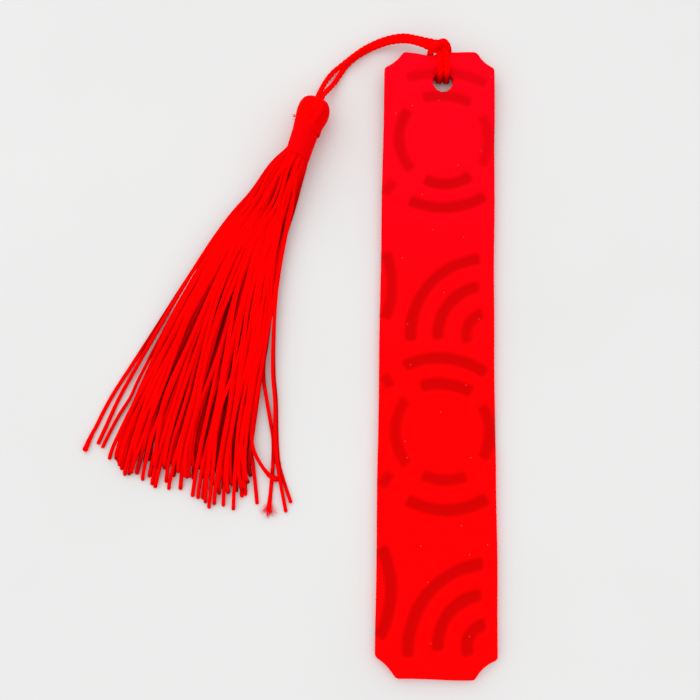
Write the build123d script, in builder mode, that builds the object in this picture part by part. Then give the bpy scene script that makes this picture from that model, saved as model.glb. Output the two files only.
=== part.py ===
from build123d import *

import math
import os

os.makedirs("parts", exist_ok=True)

# Bookmark lying flat on its back, in millimetres.
# The origin is the middle of the plate's back face, +X across, +Y along the plate towards the hole, +Z up.

# Plate
plate_length = 140.0
plate_width = 25.4
plate_thickness = 2.0
corner_scoop = 4.5
scoop_depth = 0.8
rim_round = 0.4
hole_diameter = 4.8
hole_from_top = 7.7
hole_offset = 1.2
flat_end = 10.0

# Pressed grooves: motifs of arcs repeat down the plate, placed from its top edge
groove_width = 2.8
groove_depth = 0.5
motif_pitch = 66.5
motif_rows = 2
ring_x = 1.8
ring_from_top = 22.3
ring_radii = (10.6, 9.5, 10.5, 10.5, 16.3, 16.3)
ring_angles = ((141, 219), (-34, 34), (57, 112), (-111, -60), (56, 117), (-117, -57))
shell_x = 11.4
shell_from_top = 67.4
shell_radii = (17.2, 10.9, 4.7)
shell_angles = ((98, 184), (103, 184), (108, 196))
edge_arc_x = -26.4
edge_arc_from_top = 56.0
edge_arc_radii = (16.7,)
edge_arc_angles = ((-34, 34),)
edge_nub_rise = 10.4
edge_nub_reach = 2.7
edge_nub_width = 2.2

# Hanging cord and its hitch through the hole
cord_diameter = 1.2
cord_clearance = 0.1
leg_pitch = 1.4
hitch_bend = 1.2
bight_bend = 1.5
bight_left = 2.7
bight_right = 2.1
bend_share = 0.45

# The cord swings about an upright axis past the plate's top edge, and lifts about the start of its free legs
swing_from_edge = 2.9
swing_clearance = 0.2
lift_gap = 0.7

# The two free legs from the lift axis to the tassel, as offsets from the swing point
leg_inner = (
    (-5.8, -0.6, -0.5),
    (-9.6, -0.2, -1.6),
    (-13.6, -1.0, -3.1),
    (-18.1, -3.2, -3.9),
    (-22.1, -6.3, -4.0),
    (-24.8, -10.3, -3.1),
    (-27.2, -12.2, -0.9),
    (-28.6, -15.4, -0.8),
)
leg_outer = (
    (-5.8, 0.7, -0.5),
    (-9.7, 1.1, -1.6),
    (-14.1, 0.3, -3.1),
    (-18.9, -2.1, -3.9),
    (-23.1, -5.4, -4.0),
    (-26.8, -8.9, -3.1),
    (-28.7, -11.6, -0.8),
    (-29.8, -15.0, -0.8),
)

# Tassel head, measured from the top of the cap along the head
head_lean = 18.5
head_clearance = 0.9
head_pivot_reach = 0.5
cap_diameter = 7.3
cap_widest = 2.4
cap_length = 6.4
cap_base_diameter = 6.7
knot_diameter = 3.6
knot_wall = 0.2
neck_length = 7.6
neck_top_diameter = 5.7
neck_bottom_diameter = 4.5
thread_diameter = 0.5
thread_gap = 0.45
thread_clearance = 0.05

# Fringe: strands fan out from the neck, stacked in four layers at the root and in two at the tips
strand_diameter = 0.9
strand_gap = 0.05
root_clearance = 0.3
root_corner_share = 0.49
root_layers = (0, 2, 1, 3)
tip_layers = (0, 1)
fan_left_angle = 46.0
fan_right_angle = 4.0
flare_left_angle = 7.0
flare_right_angle = 10.0
floor_gap = 0.08
ragged_cut = 1.1
ragged_angle = 137.5

# Locks of the fringe from left to right, with the angles of their first and last strands from -Y
lock_names = (
    "far_left",
    "left_outer",
    "left_middle",
    "left_inner",
    "centre",
    "right_inner",
    "right_middle",
    "right_outer",
    "far_right",
)
lock_counts = (4, 6, 6, 6, 6, 7, 7, 6, 4)
lock_first_angles = (30.0, 24.4, 21.4, 18.8, 16.0, 13.2, 10.0, 6.6, 1.2)
lock_last_angles = (25.6, 21.9, 19.2, 16.5, 13.6, 10.5, 7.2, 3.6, -3.0)
lock_lengths = (65.0, 64.8, 65.2, 63.8, 62.6, 63.4, 63.6, 62.2, 62.6)

# Worked-out places of the plate: each scoop is an arc of a large circle whose middle lies outside the corner
top_edge = plate_length / 2
scoop_chord = corner_scoop * math.sqrt(2)
scoop_radius = (scoop_chord**2 / 4 + scoop_depth**2) / (2 * scoop_depth)
scoop_outset = (scoop_radius - scoop_depth) / math.sqrt(2) - corner_scoop / 2
hole_y = top_edge - hole_from_top
cord_radius = cord_diameter / 2
cord_room = cord_diameter + 3 * cord_clearance
bend_run = hole_y - flat_end
bend_radius = (bend_run**2 + cord_room**2) / (2 * cord_room)


def lift(y):
    """Height of the plate's back above the table at y."""
    run = max(y - flat_end, 0)
    return bend_radius - math.sqrt(bend_radius**2 - run**2)


def bent_slab(low, high):
    """Wide strip between two heights above the plate's back, flat and then rising with the plate."""
    end = top_edge + plate_width
    with BuildPart() as slab:
        with BuildSketch(Plane.YZ):
            with BuildLine():
                Line((-end, low), (flat_end, low))
                RadiusArc((flat_end, low), (end, low + lift(end)), -bend_radius)
                Line((end, low + lift(end)), (end, high + lift(end)))
                RadiusArc((end, high + lift(end)), (flat_end, high), bend_radius)
                Line((flat_end, high), (-end, high))
                Line((-end, high), (-end, low))
            make_face()
        extrude(amount=plate_width, both=True)
    return slab.part


def bend_radii(points):
    """Largest bend at each inner point of a route, from its shorter run and its turn."""
    radii = []
    for before, here, after in zip(points, points[1:], points[2:]):
        run_in = Vector(*here) - Vector(*before)
        run_out = Vector(*after) - Vector(*here)
        half_turn = math.radians(run_in.get_angle(run_out)) / 2
        radii.append(bend_share * min(run_in.length, run_out.length) / math.tan(half_turn))
    return radii


def cord_tube(points, radii):
    """Round cord along straight runs joined by tangent arcs."""
    with BuildPart() as tube:
        with BuildLine() as route:
            FilletPolyline(*points, radius=radii)
        with BuildSketch(Plane(origin=route.line @ 0, z_dir=route.line % 0)):
            Circle(cord_radius)
        sweep()
    length = route.wire().length
    share = tube.part.volume / (math.pi * cord_radius**2 * length)
    bends = ", ".join(f"{radius:.1f}" for radius in radii)
    print(f"cord {length:.1f} mm long, bend radii {bends}, volume over section by length {share:.4f}")
    return tube.part


def finish(part, name):
    part.label = name
    export_step(part, f"parts/{name}.step")


# Plate: a strip that lies flat and rises a little over the strands behind the hole
over_plate = 2 * plate_thickness + lift(top_edge)
groove_skin = bent_slab(plate_thickness - groove_depth, 2 * plate_thickness)
with BuildPart() as groove_cutter:
    with BuildSketch():
        for row in range(motif_rows):
            row_top = top_edge - row * motif_pitch
            for centre_x, from_top, radii, angles in (
                (ring_x, ring_from_top, ring_radii, ring_angles),
                (shell_x, shell_from_top, shell_radii, shell_angles),
                (edge_arc_x, edge_arc_from_top, edge_arc_radii, edge_arc_angles),
            ):
                for radius, (start, stop) in zip(radii, angles):
                    centre = Plane((centre_x, row_top - from_top, 0))
                    SlotArc(Edge.make_circle(radius, centre, start, stop), groove_width)
            for side in (-1, 1):
                nub_y = row_top - ring_from_top + side * edge_nub_rise
                with Locations((-plate_width / 2, nub_y)):
                    SlotOverall(2 * edge_nub_reach, edge_nub_width)
    extrude(amount=over_plate)
    add(groove_skin, mode=Mode.INTERSECT)

strip = bent_slab(0, plate_thickness)
with BuildPart() as plate:
    add(strip)
    with BuildSketch():
        Rectangle(plate_width, plate_length)
        with GridLocations(plate_width + 2 * scoop_outset, plate_length + 2 * scoop_outset, 2, 2):
            Circle(scoop_radius, mode=Mode.SUBTRACT)
        with Locations((hole_offset, hole_y)):
            Circle(hole_diameter / 2, mode=Mode.SUBTRACT)
    extrude(amount=over_plate, mode=Mode.INTERSECT)
    across = plate.edges().group_by(Axis.X)
    along = plate.edges().group_by(Axis.Y)
    rims = across[0] + across[-1] + along[0] + along[-1]
    fillet(rims.filter_by(Axis.Z, reverse=True), rim_round)
    add(groove_cutter.part, mode=Mode.SUBTRACT)
finish(plate.part, "plate")

# Hitch: legs up the front, down through the hole, behind the plate and over the legs as the bight
strand_reach = hole_diameter / 2 - cord_radius - cord_clearance
strand_in_hole = hole_y + math.sqrt(strand_reach**2 - (leg_pitch / 2) ** 2)
front_rest = plate_thickness + cord_radius + cord_clearance
front_at_hole = front_rest + lift(strand_in_hole + hitch_bend)
front_at_edge = front_rest + lift(top_edge)
front_slope = (front_at_edge - front_at_hole) / (top_edge - strand_in_hole)
swing_point = Vector(hole_offset, top_edge + swing_from_edge, front_at_edge + front_slope * swing_from_edge)
leg_end_y = swing_point.Y - cord_clearance
leg_end_z = swing_point.Z
back_rest = cord_radius + cord_clearance
bight_y = top_edge + cord_radius + cord_clearance
bight_z = leg_end_z + cord_diameter + cord_clearance


def half_hitch(side, foot):
    """Route of one strand from its free end on the front to the foot of the bight."""
    leg_x = hole_offset + side * leg_pitch / 2
    foot_x = hole_offset + side * foot
    return [
        (leg_x, leg_end_y, leg_end_z),
        (leg_x, strand_in_hole, front_at_hole),
        (leg_x, strand_in_hole, back_rest),
        (foot_x, bight_y, back_rest),
        (foot_x, bight_y, bight_z),
    ]


hitch_route = half_hitch(-1, bight_left) + half_hitch(1, bight_right)[::-1]
half_bends = [hitch_bend, hitch_bend, hitch_bend, bight_bend]
hitch = cord_tube(hitch_route, half_bends + half_bends[::-1])
finish(hitch, "cord_hitch")

# First stretch of the doubled cord, which turns with the swing, and the two free legs
root_start = leg_pitch / 2 + cord_radius + swing_clearance
for name, route in (("inner", leg_inner), ("outer", leg_outer)):
    leg_points = [tuple(swing_point + Vector(*offset)) for offset in route]
    root_from = swing_point + Vector(-root_start, route[0][1], 0)
    root_to = Vector(*leg_points[0]) + Vector(lift_gap, 0, 0)
    with BuildPart() as cord_root:
        with BuildLine() as root_line:
            Line(root_from, root_to)
        with BuildSketch(Plane(origin=root_from, z_dir=root_line.line % 0)):
            Circle(cord_radius)
        sweep()
    finish(cord_root.part, f"cord_root_{name}")
    finish(cord_tube(leg_points, bend_radii(leg_points)), f"cord_leg_{name}")

# Tassel head: its axis leans from -Y towards -X and lies level
leg_tips = swing_point + (Vector(*leg_inner[-1]) + Vector(*leg_outer[-1])) / 2
lean = math.radians(head_lean)
head_axis = Vector(-math.sin(lean), -math.cos(lean), 0)
head_side = Vector(math.cos(lean), -math.sin(lean), 0)
tassel_pivot = leg_tips - head_axis * head_pivot_reach
cap_top = leg_tips + head_axis * head_clearance
section = Plane(origin=cap_top, x_dir=head_side, z_dir=head_side.cross(head_axis))
head_line = Axis(cap_top, head_axis)
bore_radius = leg_pitch / 2 + cord_radius
pocket_radius = knot_diameter / 2 + cord_clearance
pocket_bottom = cap_length - knot_wall
knot_depth = pocket_bottom - pocket_radius
pocket_mouth = knot_depth - math.sqrt(pocket_radius**2 - bore_radius**2)

with BuildPart() as skein_fold:
    with BuildSketch(section):
        with BuildLine():
            widest = (cap_diameter / 2, cap_widest)
            TangentArc(widest, (bore_radius, 0), tangent=(0, -1))
            TangentArc(widest, (cap_base_diameter / 2, cap_length), tangent=(0, 1))
            Line((cap_base_diameter / 2, cap_length), (0, cap_length))
            Line((0, cap_length), (0, pocket_bottom))
            ThreePointArc((0, pocket_bottom), (pocket_radius, knot_depth), (bore_radius, pocket_mouth))
            Line((bore_radius, pocket_mouth), (bore_radius, 0))
        make_face()
    revolve(axis=head_line)
finish(skein_fold.part, "skein_fold")

# Ends of the cord inside the cap, and the knot that holds them there
with BuildPart() as cord_ends:
    with BuildSketch(Plane(origin=cap_top, x_dir=head_side, z_dir=head_axis)):
        with GridLocations(cord_diameter + cord_clearance, 0, 2, 1):
            Circle(cord_radius)
    extrude(amount=knot_depth - knot_diameter / 2 - cord_clearance)
finish(cord_ends.part, "cord_ends")

with BuildPart() as cord_knot:
    with Locations(cap_top + head_axis * knot_depth):
        Sphere(knot_diameter / 2)
finish(cord_knot.part, "cord_knot")

# Neck of packed strands and the thread wound round it
with BuildPart() as neck:
    with BuildSketch(section):
        Polygon(
            (0, cap_length),
            (neck_top_diameter / 2, cap_length),
            (neck_bottom_diameter / 2, cap_length + neck_length),
            (0, cap_length + neck_length),
            align=None,
        )
    revolve(axis=head_line)
finish(neck.part, "neck_core")

thread_pitch = thread_diameter + thread_gap
thread_turns = int((neck_length - thread_diameter) / thread_pitch)
thread_start = cap_length + (neck_length - thread_turns * thread_pitch) / 2
neck_taper = (neck_top_diameter - neck_bottom_diameter) / (2 * neck_length)


def thread_point(turn):
    """Middle of the thread after so many turns."""
    depth = thread_start + turn * thread_pitch
    neck_radius = neck_top_diameter / 2 - (depth - cap_length) * neck_taper
    radius = neck_radius + thread_diameter / 2 + thread_clearance
    angle = 2 * math.pi * turn
    out = head_side * math.cos(angle) + Vector(0, 0, 1) * math.sin(angle)
    return cap_top + head_axis * depth + out * radius


def thread_heading(turn):
    step = 0.001
    return (thread_point(turn + step) - thread_point(turn - step)).normalized()


def biarc_middle(start, start_heading, end, end_heading):
    """Point where the two arcs of a biarc meet, and the heading there."""
    span = end - start
    both = start_heading + end_heading
    bow = 2 * (1 - start_heading.dot(end_heading))
    reach = (math.sqrt(span.dot(both) ** 2 + bow * span.dot(span)) - span.dot(both)) / bow
    near = start + start_heading * reach
    far = end - end_heading * reach
    return (near + far) / 2, (far - near).normalized()


with BuildPart() as binding:
    with BuildLine() as winding:
        entry = thread_point(0)
        Line(entry - thread_heading(0) * thread_diameter, entry)
        for quarter in range(4 * thread_turns):
            start = thread_point(quarter / 4)
            end = thread_point((quarter + 1) / 4)
            start_heading = thread_heading(quarter / 4)
            end_heading = thread_heading((quarter + 1) / 4)
            middle, middle_heading = biarc_middle(start, start_heading, end, end_heading)
            TangentArc(start, middle, tangent=start_heading)
            TangentArc(middle, end, tangent=middle_heading)
        leaving = thread_point(thread_turns)
        Line(leaving, leaving + thread_heading(thread_turns) * thread_diameter)
    with BuildSketch(Plane(origin=winding.wire() @ 0, z_dir=winding.wire() % 0)):
        Circle(thread_diameter / 2)
    sweep()
finish(binding.part, "neck_binding")
turn_samples = 40
samples = turn_samples * thread_turns
winding_points = [winding.wire() @ (sample / samples) for sample in range(samples + 1)]
least_gap = min(
    (one - other).length - thread_diameter
    for index, one in enumerate(winding_points)
    for other in winding_points[index + turn_samples // 2 :]
)
print(f"binding of {thread_turns} turns, least gap to itself {least_gap:.2f} mm")

# Packed strands just below the neck, spreading into the fan and ending on a round front about the fan's pivot
strand_count = sum(lock_counts)
layer_step = strand_diameter + strand_gap
fan_spread = math.radians(fan_left_angle - fan_right_angle)
strand_start = (strand_count - 1) * layer_step / (len(root_layers) * fan_spread)
root_reach = strand_start - root_clearance
fan_pivot = cap_top + head_axis * (cap_length + neck_length)
fan_middle = math.radians((fan_left_angle + fan_right_angle) / 2)
fan_heading = Vector(-math.sin(fan_middle), -math.cos(fan_middle), 0)
fan_side = Vector(math.cos(fan_middle), -math.sin(fan_middle), 0)
fan_height = len(root_layers) * layer_step
root_width = 2 * root_reach * math.sin(fan_spread / 2) + strand_diameter
root_middle = Vector(fan_pivot.X, fan_pivot.Y, floor_gap + fan_height / 2)
root_middle += fan_heading * (root_reach + strand_diameter)

with BuildPart() as fringe_root:
    with BuildSketch(Plane(origin=fan_pivot, x_dir=head_side, z_dir=head_axis)):
        RectangleRounded(neck_bottom_diameter, neck_bottom_diameter, root_corner_share * neck_bottom_diameter)
    with BuildSketch(Plane(origin=root_middle, x_dir=fan_side, z_dir=fan_heading)):
        RectangleRounded(root_width, fan_height, root_corner_share * fan_height)
    loft(ruled=True)
    with Locations(fan_pivot):
        Cylinder(root_reach, 4 * cap_diameter, mode=Mode.INTERSECT)
finish(fringe_root.part, "fringe_root")

# Fringe: each strand is one gentle arc, and neighbours lie in different layers so that none touch
low_layer = floor_gap + strand_diameter / 2


def strand_ends(number, angle, length):
    """Start, end and first heading of one strand, counted from the left."""
    share = number / (strand_count - 1)
    bearing = math.radians(fan_left_angle) - fan_spread * share
    flare = math.radians(flare_left_angle + (flare_right_angle - flare_left_angle) * share)
    chord_heading = math.radians(angle)
    start_z = low_layer + root_layers[number % len(root_layers)] * layer_step
    end_z = low_layer + tip_layers[number % len(tip_layers)] * layer_step
    cut = length + ragged_cut * math.sin(math.radians(ragged_angle * number))
    start = Vector(fan_pivot.X, fan_pivot.Y, start_z)
    start += Vector(-math.sin(bearing), -math.cos(bearing), 0) * strand_start
    end = start + Vector(-math.sin(chord_heading), -math.cos(chord_heading), 0) * cut
    end += Vector(0, 0, end_z - start_z)
    leave = chord_heading + flare
    first_heading = Vector(-math.sin(leave), -math.cos(leave), (end_z - start_z) / cut)
    return start, end, first_heading.normalized()


number = 0
for lock_name, count, first_angle, last_angle, length in zip(
    lock_names, lock_counts, lock_first_angles, lock_last_angles, lock_lengths
):
    with BuildPart() as lock:
        for place in range(count):
            angle = first_angle + (last_angle - first_angle) * place / (count - 1)
            start, end, first_heading = strand_ends(number, angle, length)
            with BuildLine():
                TangentArc(start, end, tangent=first_heading)
            with BuildSketch(Plane(origin=start, z_dir=first_heading)):
                Circle(strand_diameter / 2)
            sweep()
            number += 1
    finish(lock.part, f"fringe_{lock_name}")

for place_name, place in (
    ("swing point", swing_point),
    ("lift axis", swing_point + Vector(*leg_inner[0])),
    ("tassel pivot", tassel_pivot),
    ("fan pivot", fan_pivot),
):
    print(f"{place_name} {place.X:.3f} {place.Y:.3f} {place.Z:.3f}")
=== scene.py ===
import math
import random

import bmesh
import bpy
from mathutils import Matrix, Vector, kdtree, noise
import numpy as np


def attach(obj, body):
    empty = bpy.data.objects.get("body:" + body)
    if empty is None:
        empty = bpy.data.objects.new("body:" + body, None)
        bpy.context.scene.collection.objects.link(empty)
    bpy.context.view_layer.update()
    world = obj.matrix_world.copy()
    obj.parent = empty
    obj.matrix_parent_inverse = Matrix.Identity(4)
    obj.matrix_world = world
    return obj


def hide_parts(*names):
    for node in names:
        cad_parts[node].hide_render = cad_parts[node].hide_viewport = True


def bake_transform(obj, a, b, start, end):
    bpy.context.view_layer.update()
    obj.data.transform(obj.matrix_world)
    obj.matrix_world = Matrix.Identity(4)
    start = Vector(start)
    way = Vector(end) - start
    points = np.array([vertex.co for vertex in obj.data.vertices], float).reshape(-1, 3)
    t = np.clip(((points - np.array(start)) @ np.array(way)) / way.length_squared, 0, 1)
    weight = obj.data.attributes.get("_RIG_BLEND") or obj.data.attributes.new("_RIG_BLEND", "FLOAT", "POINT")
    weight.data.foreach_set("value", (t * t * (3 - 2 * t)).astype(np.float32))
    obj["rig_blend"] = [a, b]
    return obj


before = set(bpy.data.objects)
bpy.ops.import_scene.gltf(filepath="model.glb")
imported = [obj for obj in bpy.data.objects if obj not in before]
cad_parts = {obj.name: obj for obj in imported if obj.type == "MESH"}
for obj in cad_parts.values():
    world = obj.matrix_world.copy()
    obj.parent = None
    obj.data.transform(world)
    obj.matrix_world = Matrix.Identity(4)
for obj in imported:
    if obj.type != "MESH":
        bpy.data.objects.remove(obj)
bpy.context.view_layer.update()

# Lengths below are in millimetres, in the frame of the CAD model, and are turned to metres with MM.
MM = 0.001
UP = Vector((0, 0, 1))
chance = random.Random(7)

# Camera, table and light
# The photograph is taken from above, a little left of the plate, over a frame of 700 by 700.
camera_data = bpy.data.cameras.new("camera")
camera_data.angle = math.radians(45)
camera_data.clip_start = 0.01
camera = bpy.data.objects.new("camera", camera_data)
camera.location = (-0.0159, -0.03235, 0.18648)
camera.rotation_euler = [math.radians(angle) for angle in (9.727, 0.790, 1.242)]
bpy.context.scene.collection.objects.link(camera)
bpy.context.scene.camera = camera
bpy.context.scene.view_settings.view_transform = "Standard"


def linear(hex_colour):
    """Linear colour with full alpha from an sRGB hex value."""
    channels = []
    for place in (1, 3, 5):
        value = int(hex_colour[place : place + 2], 16) / 255
        channels.append(value / 12.92 if value <= 0.04045 else ((value + 0.055) / 1.055) ** 2.4)
    return [*channels, 1]


def add_node(tree, kind, settings, links):
    """Add one node: settings are its properties or input values, links lead outputs to its inputs."""
    node = tree.nodes.new(kind)
    for name, value in settings.items():
        if isinstance(name, str) and hasattr(node, name):
            setattr(node, name, value)
        else:
            node.inputs[name].default_value = value
    for name, source in links.items():
        tree.links.new(source, node.inputs[name])
    return node


def new_material(name, settings):
    """Material with one principled shader, whose constant sockets are set here."""
    material = bpy.data.materials.new(name)
    material.use_nodes = True
    shader = material.node_tree.nodes["Principled BSDF"]
    for socket, value in settings.items():
        shader.inputs[socket].default_value = value
    return material, material.node_tree, shader


def colour_steps(node, steps):
    """Set the colours of a ramp from pairs of place and hex value."""
    ramp = node.color_ramp
    while len(ramp.elements) < len(steps):
        ramp.elements.new(0.5)
    for element, (place, hex_colour) in zip(ramp.elements, steps):
        element.position = place
        element.color = linear(hex_colour)


# Polymer clay, rolled, pressed with a stamp and cut by hand: one deep red all through, satin after baking.
# The pressed grooves are painted a little darker, as painted shade for the shade that falls in them, and the red
# is slightly cooler towards the holed end.
# The skin has faint unevenness, a very fine grain and a few specks of pale lint.
clay, tree, shader = new_material(
    "polymer_clay_pressed",
    {"Roughness": 0.5, "Specular IOR Level": 0.015, "IOR": 1.5},
)
place = add_node(tree, "ShaderNodeTexCoord", {}, {})
pressed = add_node(tree, "ShaderNodeAttribute", {"attribute_name": "pressed"}, {})
mottle = add_node(
    tree,
    "ShaderNodeTexNoise",
    {"Scale": 1 / (9 * MM), "Detail": 3.0},
    {"Vector": place.outputs["Object"]},
)
# Shade mixes the clay's own faint mottle with painted shade in the grooves, taken from the pressed share
shade = add_node(
    tree,
    "ShaderNodeMath",
    {"operation": "MULTIPLY_ADD", 1: 0.12},
    {0: mottle.outputs["Fac"], 2: pressed.outputs["Fac"]},
)
warm_red = add_node(tree, "ShaderNodeValToRGB", {}, {"Fac": shade.outputs[0]})
colour_steps(warm_red, ((0.05, "#fd0002"), (1.0, "#cc0000")))
cool_red = add_node(tree, "ShaderNodeValToRGB", {}, {"Fac": shade.outputs[0]})
colour_steps(cool_red, ((0.05, "#fd0016"), (1.0, "#cc000a")))
along = add_node(tree, "ShaderNodeSeparateXYZ", {}, {"Vector": place.outputs["Object"]})
cooler = add_node(
    tree,
    "ShaderNodeMapRange",
    {"From Min": -20 * MM, "From Max": 68 * MM, "interpolation_type": "SMOOTHSTEP"},
    {"Value": along.outputs["Y"]},
)
red = add_node(
    tree,
    "ShaderNodeMixRGB",
    {},
    {"Fac": cooler.outputs[0], "Color1": warm_red.outputs["Color"], "Color2": cool_red.outputs["Color"]},
)
lint = add_node(
    tree,
    "ShaderNodeTexVoronoi",
    {"voronoi_dimensions": "2D", "Scale": 1 / (11 * MM)},
    {"Vector": place.outputs["Object"]},
)
speck = add_node(
    tree,
    "ShaderNodeMapRange",
    {"From Min": 0.016, "From Max": 0.005, "To Max": 0.15},
    {"Value": lint.outputs["Distance"]},
)
clay_colour = add_node(
    tree,
    "ShaderNodeMixRGB",
    {"Color2": linear("#ff9a9a")},
    {"Fac": speck.outputs[0], "Color1": red.outputs["Color"]},
)
tree.links.new(clay_colour.outputs["Color"], shader.inputs["Base Color"])
grain = add_node(
    tree,
    "ShaderNodeTexNoise",
    {"Scale": 1 / (0.4 * MM), "Detail": 2.0},
    {"Vector": place.outputs["Object"]},
)
skin = add_node(
    tree,
    "ShaderNodeBump",
    {"Strength": 0.25, "Distance": 0.02 * MM},
    {"Height": grain.outputs["Fac"]},
)
tree.links.new(skin.outputs["Normal"], shader.inputs["Normal"])


def yarn_material(name, twist_length, fibres, light, dark):
    """Silky thread: fibres wind round it once in a twist length in mm, and each strand has its own tone, with
    painted shade in it.
    """
    material, tree, shader = new_material(name, {"Roughness": 0.6, "Specular IOR Level": 0.01})
    lay = add_node(tree, "ShaderNodeUVMap", {"uv_map": "lay"}, {})
    parts = add_node(tree, "ShaderNodeSeparateXYZ", {}, {"Vector": lay.outputs["UV"]})
    turned = add_node(
        tree,
        "ShaderNodeMath",
        {"operation": "MULTIPLY", 1: 2 * math.pi / twist_length},
        {0: parts.outputs["X"]},
    )
    wound = add_node(
        tree,
        "ShaderNodeMath",
        {"operation": "MULTIPLY_ADD", 1: 2 * math.pi * fibres},
        {0: parts.outputs["Y"], 2: turned.outputs[0]},
    )
    fibre = add_node(tree, "ShaderNodeMath", {"operation": "SINE"}, {0: wound.outputs[0]})
    place = add_node(tree, "ShaderNodeTexCoord", {}, {})
    fluff = add_node(
        tree,
        "ShaderNodeTexNoise",
        {"Scale": 1 / (0.25 * MM), "Detail": 2.0},
        {"Vector": place.outputs["Object"]},
    )
    relief = add_node(
        tree,
        "ShaderNodeMath",
        {"operation": "MULTIPLY_ADD", 1: 0.3},
        {0: fibre.outputs[0], 2: fluff.outputs["Fac"]},
    )
    bump = add_node(
        tree,
        "ShaderNodeBump",
        {"Strength": 0.35, "Distance": 0.04 * MM},
        {"Height": relief.outputs[0]},
    )
    tree.links.new(bump.outputs["Normal"], shader.inputs["Normal"])
    # The tone attribute holds each strand's own tone together with painted shade
    tone = add_node(tree, "ShaderNodeAttribute", {"attribute_name": "tone"}, {})
    spread = add_node(
        tree,
        "ShaderNodeMath",
        {"operation": "MULTIPLY_ADD", 1: 0.08},
        {0: fibre.outputs[0], 2: tone.outputs["Fac"]},
    )
    colour = add_node(tree, "ShaderNodeValToRGB", {}, {"Fac": spread.outputs[0]})
    colour_steps(colour, ((0.0, dark), (1.0, light)))
    tree.links.new(colour.outputs["Color"], shader.inputs["Base Color"])
    return material


# Twisted viscose cord of three plies, silky viscose yarn and a finer viscose thread, all dyed the same red.
# Viscose is smooth and closely laid, so it shows soft round strands with fine fibres rather than fluff.
# The dark colour of each ramp shows where a strand's own tone and its painted shade are low
cord_viscose = yarn_material("viscose_cord_twisted", 1.6, 5, "#fd0001", "#b00000")
yarn_viscose = yarn_material("viscose_yarn_laid", 5.0, 4, "#fc0001", "#940000")
thread_viscose = yarn_material("viscose_thread_wound", 1.2, 3, "#f8000a", "#e60000")

# White paper on the table: plain, dull, with a trace of mottle
paper, tree, shader = new_material("white_paper", {"Roughness": 0.9, "Specular IOR Level": 0.1})
place = add_node(tree, "ShaderNodeTexCoord", {}, {})
mottle = add_node(
    tree,
    "ShaderNodeTexNoise",
    {"Scale": 1 / (60 * MM), "Detail": 2.0},
    {"Vector": place.outputs["Object"]},
)
paper_colour = add_node(tree, "ShaderNodeValToRGB", {}, {"Fac": mottle.outputs["Fac"]})
colour_steps(paper_colour, ((0.3, "#d9d9d7"), (0.7, "#dcdcda")))
tree.links.new(paper_colour.outputs["Color"], shader.inputs["Base Color"])

table_bm = bmesh.new()
bmesh.ops.create_grid(table_bm, x_segments=1, y_segments=1, size=2.0)
table_mesh = bpy.data.meshes.new("table")
table_bm.to_mesh(table_mesh)
table_bm.free()
table_mesh.materials.append(paper)
table = bpy.data.objects.new("table", table_mesh)
bpy.context.scene.collection.objects.link(table)

# A pale room, brighter towards the window on the far left and overhead
world = bpy.data.worlds.new("soft_room")
world.use_nodes = True
room = world.node_tree.nodes["Background"]
room.inputs["Color"].default_value = linear("#fdfdff")
facing = add_node(world.node_tree, "ShaderNodeTexCoord", {}, {})
window_side = add_node(
    world.node_tree,
    "ShaderNodeVectorMath",
    {"operation": "DOT_PRODUCT", 1: (-0.4, 0.75, 0.5)},
    {0: facing.outputs["Generated"]},
)
brightness = add_node(
    world.node_tree,
    "ShaderNodeMapRange",
    {"From Min": -1, "From Max": 1, "To Min": 0.8, "To Max": 1.34},
    {"Value": window_side.outputs["Value"]},
)
world.node_tree.links.new(brightness.outputs[0], room.inputs["Strength"])
bpy.context.scene.world = world

window_data = bpy.data.lights.new("window", "AREA")
window_data.shape = "DISK"
window_data.size = 0.9
window_data.energy = 0.9
window = bpy.data.objects.new("window", window_data)
window.location = (-0.45, 0.45, 0.75)
window.rotation_euler = (-window.location).to_track_quat("-Z", "Y").to_euler()
bpy.context.scene.collection.objects.link(window)


def new_piece(name, bm, material):
    """Turn a bmesh in metres into a piece of the object."""
    bmesh.ops.recalc_face_normals(bm, faces=bm.faces)
    mesh = bpy.data.meshes.new(name)
    bm.to_mesh(mesh)
    bm.free()
    mesh.shade_smooth()
    mesh.materials.append(material)
    piece = bpy.data.objects.new(name, mesh)
    bpy.context.scene.collection.objects.link(piece)
    return piece


def smooth_line(points, steps):
    """Points in metres along a NURBS spline whose control points are these, in millimetres."""
    curve = bpy.data.curves.new("route", "CURVE")
    curve.dimensions = "3D"
    curve.resolution_u = steps
    spline = curve.splines.new("NURBS")
    spline.points.add(len(points) - 1)
    for spot, point in zip(spline.points, points):
        spot.co = (*(Vector(point) * MM), 1)
    spline.order_u = 3
    spline.use_endpoint_u = True
    holder = bpy.data.objects.new("route", curve)
    mesh = bpy.data.meshes.new_from_object(holder)
    line = [vertex.co.copy() for vertex in mesh.vertices]
    bpy.data.objects.remove(holder)
    bpy.data.curves.remove(curve)
    bpy.data.meshes.remove(mesh)
    return line


def frames_along(line):
    """Two directions across the line at each of its points, with as little turn as possible."""
    across = None
    frames = []
    for place, point in enumerate(line):
        heading = (line[min(place + 1, len(line) - 1)] - line[max(place - 1, 0)]).normalized()
        if across is None:
            across = heading.orthogonal()
        across = (across - heading * across.dot(heading)).normalized()
        frames.append((across, heading.cross(across)))
    return frames


def distances(line):
    """Length of the line up to each of its points, in millimetres."""
    lengths = [0.0]
    for before, here in zip(line, line[1:]):
        lengths.append(lengths[-1] + (here - before).length / MM)
    return lengths


def new_yarn():
    """Empty bmesh with the map and the tone with painted shade that yarn materials read."""
    bm = bmesh.new()
    bm.loops.layers.uv.new("lay")
    bm.verts.layers.float.new("tone")
    return bm


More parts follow.
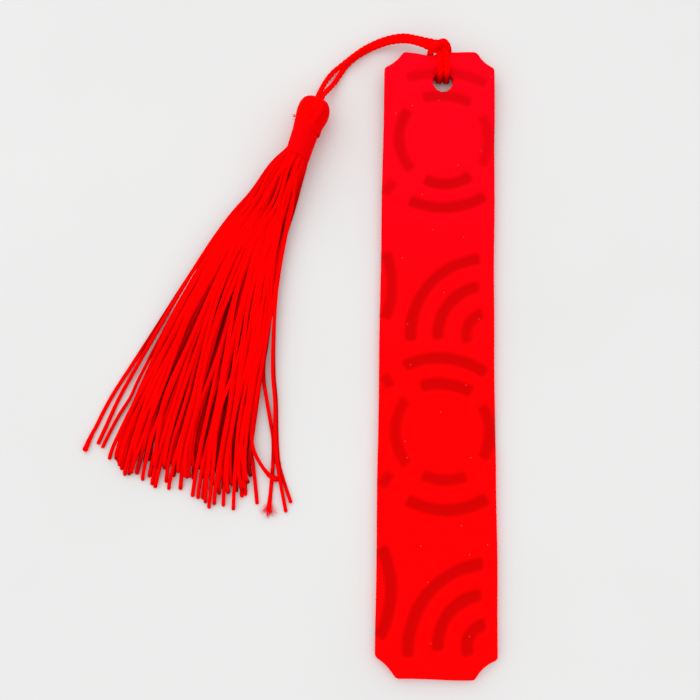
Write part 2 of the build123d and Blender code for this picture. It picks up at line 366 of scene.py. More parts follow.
def add_strand(bm, line, radii, sides, tones, frames=None):
    """Round strand along a line: a grid rolled into a tube, with the map's X in mm along and Y once round.

    Each ring has its own tone, which also carries painted shade, but the side that faces down keeps the full
    colour, as the painted shade only stands for shade from above.
    """
    frames = frames or frames_along(line)
    lengths = distances(line)
    lay = bm.loops.layers.uv["lay"]
    tone_and_shade_layer = bm.verts.layers.float["tone"]
    rings = len(line) - 1
    rolled = bmesh.ops.create_grid(bm, x_segments=rings, y_segments=sides, size=1, calc_uvs=True)["verts"]
    faces = {face for vertex in rolled for face in vertex.link_faces}
    for face in faces:
        for loop in face.loops:
            spot = loop[lay].uv
            spot.x = lengths[round(spot.x * rings)]
    for vertex in rolled:
        ring = round((vertex.co.x + 1) / 2 * rings)
        angle = math.pi * (vertex.co.y + 1)
        across, over = frames[ring]
        out = across * math.cos(angle) + over * math.sin(angle)
        vertex.co = line[ring] + out * radii[ring]
        # Painted shade from the tone is kept off the side that faces down
        vertex[tone_and_shade_layer] = tones[ring] + (1 - tones[ring]) * max(-out.z, 0)
    bmesh.ops.remove_doubles(bm, verts=rolled, dist=1e-8)


# Hanging cord: one length from the cap round the hitch and back, in millimetres
cord_ply_radius = 0.42
cord_ply_offset = 0.22
cord_ply_sides = 10
cord_lay_length = 3.6
# The cord is squeezed and swells by this share where it is hitched, over so many points before and after
hitch_swelling = 0.27
hitch_fade = 15
# Tone of the first ply, the step from a ply to the next, and the painted shade, as tone taken away, where the
# hitch goes down through the hole and behind the plate, from one height to a lower one
ply_tone = 0.86
ply_tone_step = 0.07
hole_shade = 0.85
hole_shade_from = 4.6
hole_shade_to = 2.0
inner_leg = (
    (-27.6, 55.4, 4.0),
    (-27.1, 57.0, 4.0),
    (-26.7, 58.5, 3.8),
    (-25.55, 60.65, 2.4),
    (-24.25, 62.8, 1.2),
    (-23.2, 64.9, 0.85),
    (-22.0, 66.8, 0.78),
    (-20.7, 68.5, 0.78),
    (-18.8, 70.2, 0.78),
    (-16.4, 71.6, 0.9),
    (-13.7, 72.6, 1.5),
    (-10.8, 73.15, 2.3),
    (-7.8, 73.1, 2.9),
    (-5.5, 72.2, 3.8),
    (-4.1, 71.4, 4.3),
    (-2.7, 70.75, 4.45),
)
hitch = (
    (-1.5, 70.25, 4.5),
    (-0.6, 69.9, 4.6),
    (0.1, 69.4, 4.7),
    (0.25, 68.4, 4.7),
    (0.38, 67.0, 4.65),
    (0.45, 65.7, 4.55),
    (0.45, 64.8, 4.35),
    (0.45, 64.4, 3.3),
    (0.45, 64.0, 1.9),
    (0.3, 63.8, 0.83),
    (-0.3, 65.6, 0.82),
    (-1.5, 68.9, 0.83),
    (-1.9, 69.9, 1.2),
    (-1.8, 69.95, 3.0),
    (-1.75, 69.75, 4.8),
    (-1.7, 69.75, 5.8),
    (-0.9, 70.0, 6.45),
    (0.3, 70.7, 6.7),
    (1.3, 70.75, 6.5),
    (1.9, 70.4, 5.4),
    (2.2, 70.4, 4.2),
    (2.4, 70.5, 2.6),
    (2.4, 70.4, 1.2),
    (2.4, 69.2, 0.83),
    (2.4, 65.6, 0.82),
    (2.05, 63.8, 0.83),
    (1.85, 64.0, 1.9),
    (1.85, 64.4, 3.3),
    (1.85, 64.8, 4.35),
    (1.85, 65.7, 4.55),
    (1.8, 66.7, 4.65),
    (1.65, 68.1, 4.8),
    (1.35, 69.4, 5.0),
    (0.7, 70.5, 5.2),
    (-0.4, 71.1, 5.2),
    (-1.5, 71.5, 5.05),
)
outer_leg = (
    (-2.7, 72.0, 4.8),
    (-4.1, 72.65, 4.4),
    (-5.5, 73.3, 3.8),
    (-7.8, 74.35, 2.9),
    (-11.0, 74.2, 2.3),
    (-14.1, 73.5, 1.5),
    (-17.0, 71.8, 1.7),
    (-19.2, 70.0, 2.0),
    (-21.2, 68.3, 1.9),
    (-22.8, 67.15, 1.4),
    (-24.55, 65.85, 0.95),
    (-26.0, 63.8, 1.1),
    (-26.95, 61.1, 2.4),
    (-27.7, 58.6, 3.8),
    (-28.0, 57.2, 4.0),
    (-28.4, 55.5, 4.0),
)
cord_line = smooth_line(inner_leg + hitch + outer_leg, steps=14)
cord_frames = frames_along(cord_line)
cord_lengths = distances(cord_line)


def nearest(target, low, high):
    """Index on the cord's line, between two indexes, that is nearest to a point in millimetres."""
    return min(range(low, high), key=lambda place: (cord_line[place] - Vector(target) * MM).length)


# Where the cord is cut into pieces: at the cap's mouth, at the lift axis and at the hitch, on both legs
cord_middle = nearest((0.3, 70.6, 6.6), 0, len(cord_line))
inner_end = 0
inner_mouth = nearest((-26.5, 59.2, 3.4), 0, cord_middle)
inner_turn = nearest((-2.6, 70.75, 4.45), 0, cord_middle)
inner_hitch = nearest((0.35, 67.4, 4.65), 0, cord_middle)
outer_hitch = nearest((1.9, 67.4, 4.65), cord_middle, len(cord_line))
outer_turn = nearest((-2.6, 72.0, 4.8), cord_middle, len(cord_line))
outer_mouth = nearest((-27.7, 59.2, 3.4), cord_middle, len(cord_line))
outer_end = len(cord_line) - 1


def ease(value, low, high):
    """Smooth rise from 0 at low to 1 at high."""
    share = max(min((value - low) / (high - low), 1), 0)
    return share * share * (3 - 2 * share)


def add_rope(bm, first, last):
    """Three plies twisted round the cord's line between two of its indexes, with painted shade behind the plate.
    """
    for ply in range(3):
        line = []
        radii = []
        tones = []
        for place in range(first, last + 1):
            hitched = ease(place, inner_turn - hitch_fade, inner_turn + hitch_fade)
            hitched *= ease(place, outer_turn + hitch_fade, outer_turn - hitch_fade)
            swelling = 1 + hitch_swelling * hitched
            across, over = cord_frames[place]
            angle = 2 * math.pi * (cord_lengths[place] / cord_lay_length + ply / 3)
            out = across * math.cos(angle) + over * math.sin(angle)
            line.append(cord_line[place] + out * cord_ply_offset * swelling * MM)
            radii.append(cord_ply_radius * swelling * MM)
            # Painted shade: the tone drops where the hitch goes down through the hole and behind the plate
            depth = ease(cord_line[place].z / MM, hole_shade_from, hole_shade_to)
            tones.append(ply_tone + ply_tone_step * ply - hole_shade * hitched * depth)
        add_strand(bm, line, radii, cord_ply_sides, tones, cord_frames[first : last + 1])


def rope_piece(name, *spans):
    """Piece of cord over one or more spans of indexes on the cord's line."""
    bm = new_yarn()
    for first, last in spans:
        add_rope(bm, first, last)
    return new_piece(name, bm, cord_viscose)


hitch_rope = rope_piece("hitch_rope", (inner_hitch, outer_hitch))
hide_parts("cord_hitch")
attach(hitch_rope, "plate")

turn_rope = rope_piece("turn_rope", (inner_turn, inner_hitch), (outer_hitch, outer_turn))
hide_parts("cord_root_inner", "cord_root_outer")
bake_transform(turn_rope, "plate", "cord_root", Vector((0.9, 70.2, 4.8)) * MM, Vector((-1.8, 72.4, 4.8)) * MM)

for side, (first, last), way in (
    ("inner", (inner_mouth, inner_turn), -1),
    ("outer", (outer_turn, outer_mouth), 1),
):
    leg_rope = rope_piece(f"leg_rope_{side}", (first, last))
    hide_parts(f"cord_leg_{side}")
    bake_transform(leg_rope, "cord_root", "cord", Vector((-3.2, 72.3, 4.4)) * MM, Vector((-7.2, 72.9, 3.6)) * MM)

end_rope = rope_piece("end_rope", (inner_end, inner_mouth), (outer_mouth, outer_end))
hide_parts("cord_ends", "cord_knot")
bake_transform(end_rope, "cord", "tassel_head", Vector((-27.1, 59.2, 3.4)) * MM, Vector((-27.7, 57.4, 4.0)) * MM)

# Plate: a wavy hand-cut outline with shallow scooped corners, a punched hole and soft pressed grooves
plate_thickness = 2.0
plate_half_length = 69.9
plate_half_width = 12.75
plate_middle_x = 0.08
plate_right = 13.0
plate_left = 12.5
hole_centre = Vector((1.15, 62.75))
hole_radius = 2.34
# The plate lies flat up to this place, then bends up on a large circle over the strands behind it
flat_end = 10.0
bend_radius = 912.5
# The front is a grid of square cells, with a rounded rim round it and a faint unevenness
plate_step = 0.3
grid_columns = 90
grid_rows = 480
plate_rim = 0.45
rim_steps = 5
nudge = 0.01
uneven_height = 0.05
uneven_width = 9
# A groove has a flat floor, soft walls out to its reach, rounded corners, and edges that waver a little
groove_depth = 0.5
groove_floor = 0.5
groove_reach = 2.3
groove_half = (groove_floor + groove_reach) / 2
groove_corner = 0.9
groove_end = 1.1
waver_height = 0.15
waver_width = 2.7
waver_margin = 0.2
# Grooves, pressed by hand: middle of the circle, radius, first and last angle, and how firmly pressed
grooves = (
    (0.8, 42.9, 21.8, 64, 109, 0.7),
    (0.8, 43.0, 16.1, 68, 102, 0.8),
    (2.9, 48.9, 11.7, 150, 217, 0.85),
    (-3.8, 48.5, 15.4, -20, 19, 0.7),
    (1.7, 47.3, 9.3, -113, -57, 1.0),
    (1.2, 49.6, 17.2, -112, -59, 1.0),
    (-32.0, 14.0, 22.0, -18, 18, 0.9),
    (11.9, 3.1, 17.6, 100, 182, 1.0),
    (11.8, 3.0, 11.4, 106, 181, 1.0),
    (11.5, 3.2, 4.9, 114, 192, 0.9),
    (0.9, -19.0, 16.8, 57, 115, 1.0),
    (0.8, -22.5, 14.5, 65, 103, 1.0),
    (2.7, -18.5, 11.5, 148, 215, 0.85),
    (0.1, -18.4, 11.6, -25, 25, 0.85),
    (2.0, -17.4, 11.5, -110, -71, 0.9),
    (2.0, -18.8, 16.5, -116, -60, 1.0),
    (-30.0, -52.3, 20.7, -25, 23, 1.0),
    (12.4, -64.2, 18.0, 100, 181.5, 1.0),
    (11.2, -63.2, 10.6, 103, 180, 1.0),
    (11.4, -63.3, 4.7, 111, 190, 1.0),
    (-20.0, 53.0, 11.2, 33, 37, 0.35),
    (-20.0, 44.0, 11.5, -42, -33, 0.75),
    (-20.0, -14.0, 11.3, 31, 38, 0.85),
    (-20.0, -22.2, 11.6, -41, -32, 0.85),
)
# Each scoop is part of a large circle set out from its corner: corner signs, length along x and y, sagitta
scoops = (
    (-1, 1, 4.6, 4.05, 0.5),
    (1, 1, 3.8, 3.7, 0.5),
    (-1, -1, 4.5, 4.3, 0.45),
    (1, -1, 4.55, 4.1, 0.62),
)
scoop_blend = 0.6


def lift(y):
    """Height of the plate's back above the table."""
    run = max(y - flat_end, 0)
    return bend_radius - math.sqrt(bend_radius**2 - run**2)


def scoop_circle(side_x, side_y, along_x, along_y, sagitta):
    """Middle and radius of the circle that cuts one corner off."""
    corner = Vector((side_x * plate_half_width + plate_middle_x, side_y * plate_half_length))
    start = corner - Vector((side_x * along_x, 0))
    end = corner - Vector((0, side_y * along_y))
    middle = (start + end) / 2
    half = (end - start).length / 2
    radius = (half**2 + sagitta**2) / (2 * sagitta)
    chord = (end - start).normalized()
    outward = Vector((-chord.y, chord.x))
    outward *= math.copysign(1, outward.dot(corner - middle))
    return middle + outward * (radius - sagitta), radius


scoop_circles = [scoop_circle(*scoop) for scoop in scoops]


def soft_least(one, other, span):
    """Smaller of two values, rounded where they meet."""
    near = max(span - abs(one - other), 0) / span
    return min(one, other) - near * near * span / 4


def edge_distance(x, y):
    """Distance inside the plate's outline, whose sides wander in long and short waves."""
    right = plate_right + 0.15 * math.cos((y - 52) / 16.3) + 0.04 * math.sin(y / 4.1)
    left = plate_left + 0.12 * math.cos(y / 40) + 0.05 * math.sin(y / 5.3 + 1)
    top_dip = 0.85 * math.exp(-(((x + 2.5) / 3.4) ** 2))
    top = plate_half_length - top_dip + 0.05 * math.sin(x * 1.1)
    bottom = plate_half_length + 0.06 * math.sin(x / 2.3)
    inside = min(right - x, left + x, top - y, bottom + y)
    spot = Vector((x, y))
    for centre, radius in scoop_circles:
        inside = soft_least(inside, (spot - centre).length - radius, scoop_blend)
    return min(inside, (spot - hole_centre).length - hole_radius)


def press(x, y):
    """Share of the full groove depth at a place on the front."""
    deepest = 0.0
    waver = waver_height * noise.noise(Vector((x / waver_width, y / waver_width, 1.5)))
    for centre_x, centre_y, radius, start, stop, firmness in grooves:
        off_x = x - centre_x
        off_y = y - centre_y
        beside = abs(math.hypot(off_x, off_y) - radius)
        if beside > groove_reach + waver_margin:
            continue
        middle = math.radians(start + stop) / 2
        half = math.radians(stop - start) / 2
        turn = (math.atan2(off_y, off_x) - middle + math.pi) % (2 * math.pi) - math.pi
        beyond = (abs(turn) - half) * radius - groove_end + groove_half
        inner = groove_half - groove_corner
        past = math.hypot(max(beside - inner, 0), max(beyond - inner, 0))
        gap = inner + past + min(max(beside - inner, beyond - inner), 0)
        wall = ease(groove_reach - gap + waver, 0, groove_reach - groove_floor)
        deepest = max(deepest, firmness * wall)
    return deepest


def set_inset(vertex, inset):
    """Move a vertex of the plate square to the outline until it is this far inside."""
    x, y = vertex.co.x, vertex.co.y
    here = edge_distance(x, y)
    slope = Vector((edge_distance(x + nudge, y) - here, edge_distance(x, y + nudge) - here, 0)) / nudge
    vertex.co += slope * (inset - here) / max(slope.length_squared, 0.2)


plate_bm = bmesh.new()
pressed_layer = plate_bm.verts.layers.float.new("pressed")
bmesh.ops.create_grid(plate_bm, x_segments=grid_columns, y_segments=grid_rows, size=1)
half_grid = (grid_columns * plate_step / 2, grid_rows * plate_step / 2, 1)
bmesh.ops.scale(plate_bm, vec=half_grid, verts=plate_bm.verts)
cut_line = plate_rim - plate_step * 0.35
cut_away = [v for v in plate_bm.verts if edge_distance(v.co.x, v.co.y) < cut_line]
bmesh.ops.delete(plate_bm, geom=cut_away, context="VERTS")
for vertex in [v for v in plate_bm.verts if v.is_boundary]:
    for _ in range(4):
        set_inset(vertex, plate_rim)
inner_verts = [v for v in plate_bm.verts if not v.is_boundary]
near_rim = [v for v in inner_verts if edge_distance(v.co.x, v.co.y) < plate_rim + 3 * plate_step]
for _ in range(3):
    bmesh.ops.smooth_vert(plate_bm, verts=near_rim, factor=0.5, use_axis_x=True, use_axis_y=True)
# Each front vertex gets its share of the groove depth, which sets its height here and the painted shade in the
# grooves in the material
for vertex in plate_bm.verts:
    x, y = vertex.co.x, vertex.co.y
    vertex[pressed_layer] = press(x, y)
    uneven = uneven_height * noise.noise(Vector((x / uneven_width, y / uneven_width, 0.3)))
    vertex.co.z = plate_thickness + uneven - groove_depth * vertex[pressed_layer]

# The rim: the front's border is extruded outwards and down in rounded steps, then straight down the wall
# and in under it, and the back is filled. Each step has its inset from the outline and its drop.
rim_profile = []
for step in range(rim_steps):
    before = math.pi / 2 * step / rim_steps
    after = math.pi / 2 * (step + 1) / rim_steps
    drop = plate_rim * (math.cos(before) - math.cos(after))
    rim_profile.append((plate_rim * (1 - math.sin(after)), drop))
rim_profile += [(0, 0.7), (0, 0.55), (plate_rim / 2, 0.3)]
rim_edges = [e for e in plate_bm.edges if e.is_boundary]
for inset, drop in rim_profile:
    made = bmesh.ops.extrude_edge_only(plate_bm, edges=rim_edges)["geom"]
    rim_verts = [item for item in made if isinstance(item, bmesh.types.BMVert)]
    rim_edges = [item for item in made if isinstance(item, bmesh.types.BMEdge)]
    for vertex in rim_verts:
        set_inset(vertex, inset)
        vertex.co.z = max(vertex.co.z - drop, 0.0)
for vertex in rim_verts:
    vertex.co.z = 0.0
bmesh.ops.triangle_fill(plate_bm, edges=rim_edges, use_beauty=True, normal=-UP)
for vertex in plate_bm.verts:
    vertex.co.z += lift(vertex.co.y)
bmesh.ops.scale(plate_bm, vec=(MM, MM, MM), verts=plate_bm.verts)
clay_plate = new_piece("clay_plate", plate_bm, clay)
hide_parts("plate")
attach(clay_plate, "plate")

# Tassel head: strands folded over the cord into a cap, held by a closely wound thread
cap_top = Vector((-28.286, 56.847, 4.022))
head_axis = Vector((-0.279, -0.9603, 0))
head_side = Vector((0.9603, -0.279, 0))
# Depth below the top of the cap and radius of a folded strand's middle
fold_profile = (
    (2.2, 0.3),
    (0.8, 0.6),
    (0.1, 1.1),
    (-0.05, 1.9),
    (0.4, 2.8),
    (1.7, 3.28),
    (3.3, 3.35),
    (5.3, 2.95),
    (7.4, 2.6),
    (8.8, 2.4),
)
fold_count = 34
fold_radius = 0.45
# A fold turns round the head's axis by this many radians in 4 mm of depth
fold_lean = 0.12
# The cap's mouth and its belly sit a little to one side of the head's axis
mouth_shift = 1.0
mouth_radius = 2.2
belly_shift = 0.28
belly_depth = 2.6
belly_reach = 4.2
# Share of its tone that a fold keeps down in the mouth, where it is darkened as painted shade
mouth_shaded_tone = 0.2


def head_point(depth, radius, angle, shift=0.0):
    """Place on the head from depth below the cap's top, radius and angle round its axis, in millimetres."""
    out = head_side * math.cos(angle) + UP * math.sin(angle)
    return cap_top + head_axis * depth + out * radius + head_side * shift


fray_radius = 0.03


def add_fray(bm, tip, heading, fibres, length, splay):
    """Fine fibres that stand out of a strand's frayed end."""
    sideways = heading.cross(UP)
    for _ in range(fibres):
        aside = sideways * chance.gauss(0, splay)
        away = (heading + aside + UP * chance.uniform(0, 0.25)).normalized()
        root = tip - heading * chance.uniform(0.2, 1.6) + aside * 0.5
        run = length * chance.uniform(0.4, 1)
        bow = sideways * chance.uniform(-0.3, 0.3)
        line = smooth_line([root, root + away * run * 0.5, root + away * run + bow], steps=3)
        radii = [fray_radius * MM] * (len(line) - 1) + [0]
        add_strand(bm, line, radii, 4, [0.9] * len(line))


cap_bm = new_yarn()
for fold in range(fold_count):
    start = 2 * math.pi * (fold + chance.uniform(-0.15, 0.15)) / fold_count
    lean = chance.uniform(-0.05, 0.05) + fold_lean
    points = []
    for depth, radius in fold_profile:
        mouth = mouth_shift * max(1 - radius / mouth_radius, 0)
        belly = belly_shift * max(1 - ((depth - belly_depth) / belly_reach) ** 2, 0)
        points.append(head_point(depth, radius, start + lean * depth / 4, mouth + belly))
    line = smooth_line(points, steps=6)
    own = chance.uniform(0.75, 1)
    # Painted shade: a fold is darker where it goes down into the cap's mouth
    tones = [own * (mouth_shaded_tone + (1 - mouth_shaded_tone) * ease(place, 4, 14)) for place in range(len(line))]
    add_strand(cap_bm, line, [fold_radius * MM] * len(line), 8, tones)
# A few fibres stand out on the cap's left side
tuft_heading = (head_axis * 0.6 - head_side).normalized()
add_fray(cap_bm, head_point(5.2, 3.8, math.pi), tuft_heading, fibres=40, length=0.9, splay=0.4)
folded_cap = new_piece("folded_cap", cap_bm, yarn_viscose)
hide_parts("skein_fold")
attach(folded_cap, "tassel_head")

# The thread winds down the neck, and a few turns lie over its start
wind_start = 6.3
wind_end = 14.3
wind_pitch = 0.36
wind_radius = 0.2
wind_segments = 24
wind_bm = new_yarn()


def add_winding(first_depth, last_depth, first_radius, last_radius, pitch, shift):
    """Thread wound round the head's axis from one depth and radius to another."""
    turns = (last_depth - first_depth) / pitch
    line = []
    for place in range(int(turns * wind_segments) + 1):
        share = place / (turns * wind_segments)
        depth = first_depth + (last_depth - first_depth) * share
        radius = first_radius + (last_radius - first_radius) * share
        line.append(head_point(depth, radius, 2 * math.pi * place / wind_segments, shift) * MM)
    add_strand(wind_bm, line, [wind_radius * MM] * len(line), 6, [0.6] * len(line))


add_winding(wind_start, wind_end, 2.88, 2.7, wind_pitch, 0.05)
add_winding(wind_start + 0.2, wind_start + 1.6, 3.0, 2.95, wind_pitch, 0.35)
# A closed core under the thread
core = []
for depth, radius in ((wind_start, 0), (wind_start, 2.8), (wind_end, 2.6), (wind_end, 0)):
    core.append(wind_bm.verts.new(head_point(depth, radius, 0) * MM))
core_edges = [wind_bm.edges.new(pair) for pair in zip(core, core[1:])]
bmesh.ops.spin(
    wind_bm,
    geom=core + core_edges,
    cent=cap_top * MM,
    axis=head_axis,
    angle=2 * math.pi,
    steps=32,
    use_merge=True,
)
bmesh.ops.remove_doubles(wind_bm, verts=wind_bm.verts, dist=1e-7)
wound_neck = new_piece("wound_neck", wind_bm, thread_viscose)
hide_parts("neck_core", "neck_binding")
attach(wound_neck, "tassel_head")

# Fringe: strands leave the neck in a round bundle and settle on the table in a fan
# Stations are distances from a point up the head, with the fan's left and right angles from -Y there.
fan_apex = Vector((-30.2, 51.2, 0))
fan_pivot = Vector((-32.728, 43.57, 4.022))
fan_middle = math.radians(17)
fan_side = Vector((math.cos(fan_middle), -math.sin(fan_middle), 0))
stations = (5.5, 8.0, 10.8, 14.0, 20.0, 27.0, 40.0, 55.0)
left_angles = (30.0, 36.0, 40.5, 40.0, 38.2, 38.4, 36.4, 34.2)
right_angles = (-9.0, -5.0, -0.5, 3.5, 6.2, 8.4, 7.8, 6.0)
# How far a strand may stray from its place at each station, as a share of the fan
wanders = (0.05, 0.05, 0.06, 0.07, 0.07, 0.06, 0.05, 0.04)
# Close to the neck the strands are evenly spread, and further out they draw together towards their tips
evenness = (1.0, 1.0, 1.0, 1.0, 1.0, 0.8, 0.6, 0.35)
strand_radius = 0.43
strand_pinch = 0.36
strand_step = 1.5
thicken_reach = (8, 26)
# Tips of the packed strands and of those that lie apart: the leftmost angle, and the span to the rightmost
packed_left = 27.4
packed_span = 20.2
apart_left = 31.8
apart_span = 31.1
apart_from = 50
# Last stations of the packed strands: distance, left angle, span to the right, and how far they stray
last_stations = ((70.0, 30.3, 21.7, 0.8), (79.0, 28.7, 20.7, 0.3))
# Strands that fill the fan from below, under those whose tips show, and how much they stray
hidden_strands = 42
hidden_reach = (81, 85.5)
hidden_roam = 0.15
# Levels say which strands lie over others: the hidden ones are below the lowest of the others
low_level = -0.6
top_level = 1.0
# At the neck the bundle is an oval that sinks and flattens further out, and whose half width is a share
# of the reach
neck_radius = 2.3
bundle_width = 0.34
bundle_sink = 2.0
bundle_flattening = 0.6
sink_reach = (8, 24)
# From here on the strands lie on each other, and the pile comes close to this height
pile_from = 14
pile_height = 2.2
settle_reach = (15, 32)
settle_rounds = 40
settle_sag = 0.003
# Painted shade: a strand is painted darkest this far below its neighbours within a small circle, and less so
# close to the neck
shade_depth = 1.2
shade_circle = 1.1
neck_shade = 0.4
shade_growth_reach = (10, 22)
# Locks from left to right: angle and reach of each strand's tip
locks = {
    "far_left": ((31.8, 88.5), (30.8, 85.7), (29.9, 85.9), (28.2, 87.1)),
    "left_outer": ((27.4, 86.5), (26.9, 86.7), (26.4, 87.3), (25.9, 87.8), (25.1, 88.6), (24.6, 88.1)),
    "left_middle": ((24.3, 87.5), (24.9, 84.5), (23.6, 87.2), (23.1, 83.5), (22.5, 87.9), (21.8, 86.7)),
    "left_inner": ((21.0, 88.0), (20.4, 88.3), (21.6, 84.0), (20.2, 83.8), (19.2, 86.4), (18.5, 87.6)),
    "centre": ((18.0, 83.5), (16.9, 86.8), (16.7, 83.9), (16.2, 83.8), (14.9, 87.4), (14.1, 87.5)),
    "right_inner": (
        (13.4, 87.3),
        (12.9, 88.0),
        (13.2, 82.0),
        (12.2, 88.9),
        (12.6, 84.0),
        (11.6, 87.9),
        (11.3, 85.5),
    ),
    "right_middle": (
        (10.3, 87.8),
        (10.8, 82.5),
        (10.0, 84.9),
        (9.7, 83.0),
        (9.2, 82.0),
        (8.8, 88.2),
        (8.2, 83.5),
    ),
    "right_outer": ((8.6, 80.5), (8.0, 81.0), (7.7, 83.5), (7.4, 82.0), (7.2, 80.5), (5.6, 86.2)),
    "far_right": ((4.2, 85.0), (3.8, 87.6), (1.4, 87.4), (0.7, 85.4)),
}
# Ends of the strands that lie apart from the rest, by lock and place in it
loose_ends = {
    ("far_left", 0): (
        (-69.8, -8.3),
        (-71.8, -11.9),
        (-73.9, -16.4),
        (-74.6, -18.4),
        (-76.0, -21.1),
        (-76.9, -24.0),
    ),
    ("far_left", 1): ((-68.2, -8.3), (-70.4, -12.8), (-72.1, -17.3), (-74.1, -22.4)),
    ("far_left", 2): ((-66.4, -8.9), (-67.5, -12.3), (-69.3, -15.0), (-71.1, -18.4), (-73.1, -23.2)),
    ("far_left", 3): ((-66.5, -13.8), (-69.0, -19.9), (-70.7, -23.6), (-71.4, -25.6)),
    ("right_outer", 5): ((-40.5, -18.8), (-40.3, -23.6), (-39.5, -27.5), (-38.6, -34.6)),
    ("far_right", 0): ((-40.3, -17.8), (-40.1, -22.8), (-37.7, -26.9), (-35.7, -29.2), (-34.4, -29.4)),
    ("far_right", 1): (
        (-38.6, -5.4),
        (-37.3, -12.1),
        (-36.2, -17.6),
        (-35.4, -20.9),
        (-35.5, -29.6),
        (-36.0, -36.2),
    ),
    ("far_right", 2): (
        (-36.4, -5.4),
        (-35.4, -12.1),
        (-35.3, -17.6),
        (-34.9, -23.1),
        (-34.3, -27.4),
        (-32.3, -36.2),
    ),
    ("far_right", 3): (
        (-36.2, -5.4),
        (-35.2, -12.1),
        (-35.0, -17.6),
        (-34.6, -23.1),
        (-34.0, -27.4),
        (-31.3, -34.2),
    ),
}


def fan_point(reach, angle):
    """Place on the table at a distance from the fan's apex and an angle from -Y."""
    bearing = math.radians(angle)
    return fan_apex + Vector((-math.sin(bearing), -math.cos(bearing), 0)) * reach


def even_points(line, step):
    """Points a step apart along a line, and its last one."""
    lengths = distances(line)
    points = []
    place = 0
    for count in range(int(lengths[-1] / step) + 1):
        while lengths[place + 1] < count * step:
            place += 1
        share = (count * step - lengths[place]) / (lengths[place + 1] - lengths[place])
        points.append(line[place].lerp(line[place + 1], share) / MM)
    return points + [line[-1] / MM]


# Lay each strand out flat first: straight ones at the bottom, and the upper ones cross over them
plans = []
for lock, tips in locks.items():
    for place, (tip_angle, reach) in enumerate(tips):
        plans.append((tip_angle, lock, place, reach))
plans.sort(reverse=True)
golden = (math.sqrt(5) - 1) / 2
for rank, plan in enumerate(plans):
    level = (top_level - low_level) * (rank * golden % 1) + low_level
    plans[rank] = (*plan, rank / (len(plans) - 1), level)
inner_locks = list(locks)[1:-1]
for place in range(hidden_strands):
    within = (place + 0.5) / hidden_strands
    lock = inner_locks[int(within * len(inner_locks))]
    reach = chance.uniform(*hidden_reach)
    level = chance.uniform(-1, low_level)
    plans.append((packed_left - packed_span * within, lock, None, reach, within, level))
strands = []
for tip_angle, lock, place, reach, rank, level in plans:
    ends = loose_ends.get((lock, place))
    within = (packed_left - tip_angle) / packed_span
    share = (apart_left - tip_angle) / apart_span if ends else 0.05 + 0.87 * within
    roam = hidden_roam if place is None else 1 + 0.6 * level
    points = []
    for station, left, right, wander, even in zip(stations, left_angles, right_angles, wanders, evenness):
        if ends and station > apart_from:
            break
        across = even * (0.03 + 0.94 * rank) + (1 - even) * share
        across += roam * chance.uniform(-wander, wander)
        # A strand that strays past either side of the fan comes back inside
        across = 1 - abs(1 - abs(across))
        points.append(fan_point(station, left + (right - left) * across))
    if ends:
        points += [Vector((x, y, 0)) for x, y in ends]
    else:
        for station, left, span, wander in last_stations:
            angle = left - span * within + roam * chance.uniform(-wander, wander)
            points.append(fan_point(station, angle))
        points.append(fan_point(reach, tip_angle))
    flat = even_points(smooth_line(points, steps=8), strand_step)
    thickness = strand_radius * chance.uniform(0.9, 1.1)
    tuck = chance.uniform(-0.9, 0.6) if place is None else math.copysign(abs(level) ** 0.4, level)
    strands.append(
        {
            "lock": lock,
            "place": place,
            "flat": flat,
            "level": level,
            "tuck": tuck,
            "thickness": thickness,
        }
    )


def bundle_height(point, reach, tuck):
    """Height of a strand close to the neck, where the bundle is oval and sinks towards the table."""
    sunk = ease(reach, *sink_reach)
    aside = (point - fan_apex).dot(fan_side) / (bundle_width * reach)
    middle = fan_pivot.z - bundle_sink * sunk
    half = (neck_radius - bundle_flattening * sunk) * math.sqrt(max(1 - aside * aside, 0.05))
    return middle + tuck * half


# Then drop the strands on the table one after another, each over those that lie there already
laid = []
for strand in sorted(strands, key=lambda item: item["level"]):
    flat = strand["flat"]
    reaches = [(point - fan_apex).length for point in flat]
    thicken = strand["thickness"] - strand_pinch
    radii = [strand_pinch + thicken * ease(reach, *thicken_reach) for reach in reaches]
    floor = list(radii)
    for other in laid:
        for place, (point, under) in enumerate(zip(flat, other)):
            gap = (point.x - under.x) ** 2 + (point.y - under.y) ** 2
            room = (2 * radii[place]) ** 2 - gap
            if room > 0 and reaches[place] > pile_from:
                floor[place] = max(floor[place], under.z + math.sqrt(room))
    heights = list(floor)
    for _ in range(settle_rounds):
        for place in range(1, len(heights) - 1):
            between = (heights[place - 1] + heights[place + 1]) / 2
            heights[place] = max(floor[place], between - settle_sag)
    for place, point in enumerate(flat):
        bundled = bundle_height(point, reaches[place], strand["tuck"])
        settled = radii[place] + pile_height * (1 - math.exp((radii[place] - heights[place]) / pile_height))
        height = bundled + (settled - bundled) * ease(reaches[place], *settle_reach)
        point.z = max(height, radii[place])
    strand["radii"] = radii
    laid.append([Vector((point.x, point.y, height)) for point, height in zip(flat, heights)])
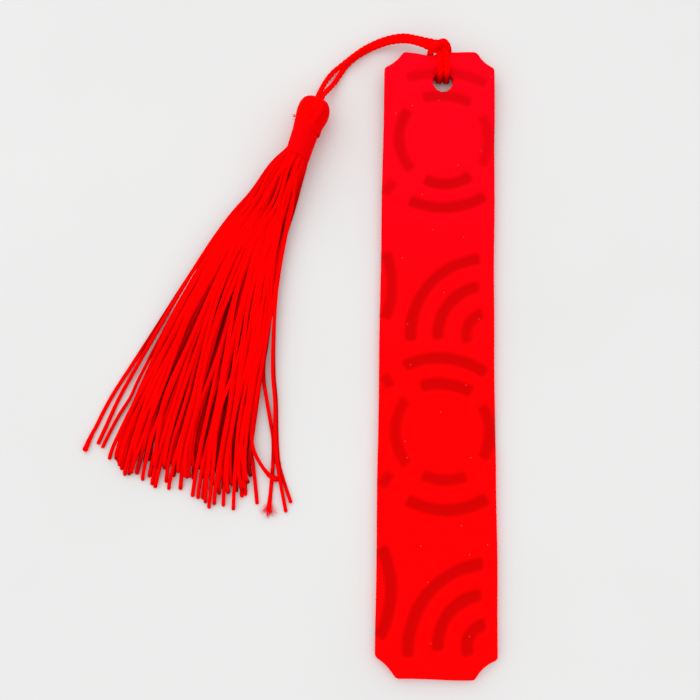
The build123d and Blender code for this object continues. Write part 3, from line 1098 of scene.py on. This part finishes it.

# Painted shade: strands are coloured darker the deeper they lie under their neighbours
crowd = kdtree.KDTree(sum(len(strand["flat"]) for strand in strands))
crowd_heights = []
for strand in strands:
    for point in strand["flat"]:
        crowd.insert((point.x, point.y, 0), len(crowd_heights))
        crowd_heights.append(point.z)
crowd.balance()
for strand in strands:
    own = chance.uniform(0.85, 1)
    strand["tones"] = []
    for point in strand["flat"]:
        near = crowd.find_range((point.x, point.y, 0), shade_circle)
        depth = max(crowd_heights[index] for _, index, _ in near) - point.z
        shade_strength = neck_shade + (1 - neck_shade) * ease((point - fan_apex).length, *shade_growth_reach)
        strand["tones"].append(own * (1 - shade_strength * min(depth / shade_depth, 1)))

# Frayed ends by lock and place in it: number of fibres, their length, how far they splay, and the swelling
frayed_ends = {
    ("far_left", 0): (14, 1.4, 0.25, 1.35),
    ("far_right", 0): (20, 2.0, 0.25, 1.7),
    ("far_right", 1): (120, 2.4, 0.5, 1.4),
}


def add_settled_strand(bm, strand):
    """One strand of a lock where it lies, with its end frayed or only rounded off."""
    line = [point * MM for point in strand["flat"]]
    radii = [radius * MM for radius in strand["radii"]]
    tail = (line[-1] - line[-2]).normalized()
    frayed = frayed_ends.get((strand["lock"], strand["place"]))
    if frayed:
        fibres, length, splay, swelling = frayed
        level_tail = Vector((tail.x, tail.y, 0)).normalized()
        add_fray(bm, strand["flat"][-1], level_tail, fibres, length, splay)
        radii[-3:] = [radii[-1] * (1 + (swelling - 1) * share) for share in (0.4, 0.8, 1)]
        for place in (-3, -2, -1):
            line[place].z = max(line[place].z, radii[place])
    # The cut tip closes over a narrower ring and a point
    line += [line[-1] + tail * 0.25 * MM, line[-1] + tail * 0.32 * MM]
    radii += [strand["thickness"] * 0.75 * MM, 0]
    tones = strand["tones"] + strand["tones"][-1:] * 2
    add_strand(bm, line, radii, 8, tones)


for lock, tips in locks.items():
    lock_bm = new_yarn()
    for strand in strands:
        if strand["lock"] == lock:
            add_settled_strand(lock_bm, strand)
    fringe = new_piece(f"strands_{lock}", lock_bm, yarn_viscose)
    if lock == "centre":
        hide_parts("fringe_centre", "fringe_root")
        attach(fringe, "tassel_head")
    else:
        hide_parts(f"fringe_{lock}")
        bearing = math.radians((tips[0][0] + tips[-1][0]) / 2)
        away = Vector((-math.sin(bearing), -math.cos(bearing), 0))
        root_start = (fan_pivot + away) * MM
        root_end = (fan_pivot + away * 12) * MM
        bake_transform(fringe, "tassel_head", f"lock_{lock}", root_start, root_end)
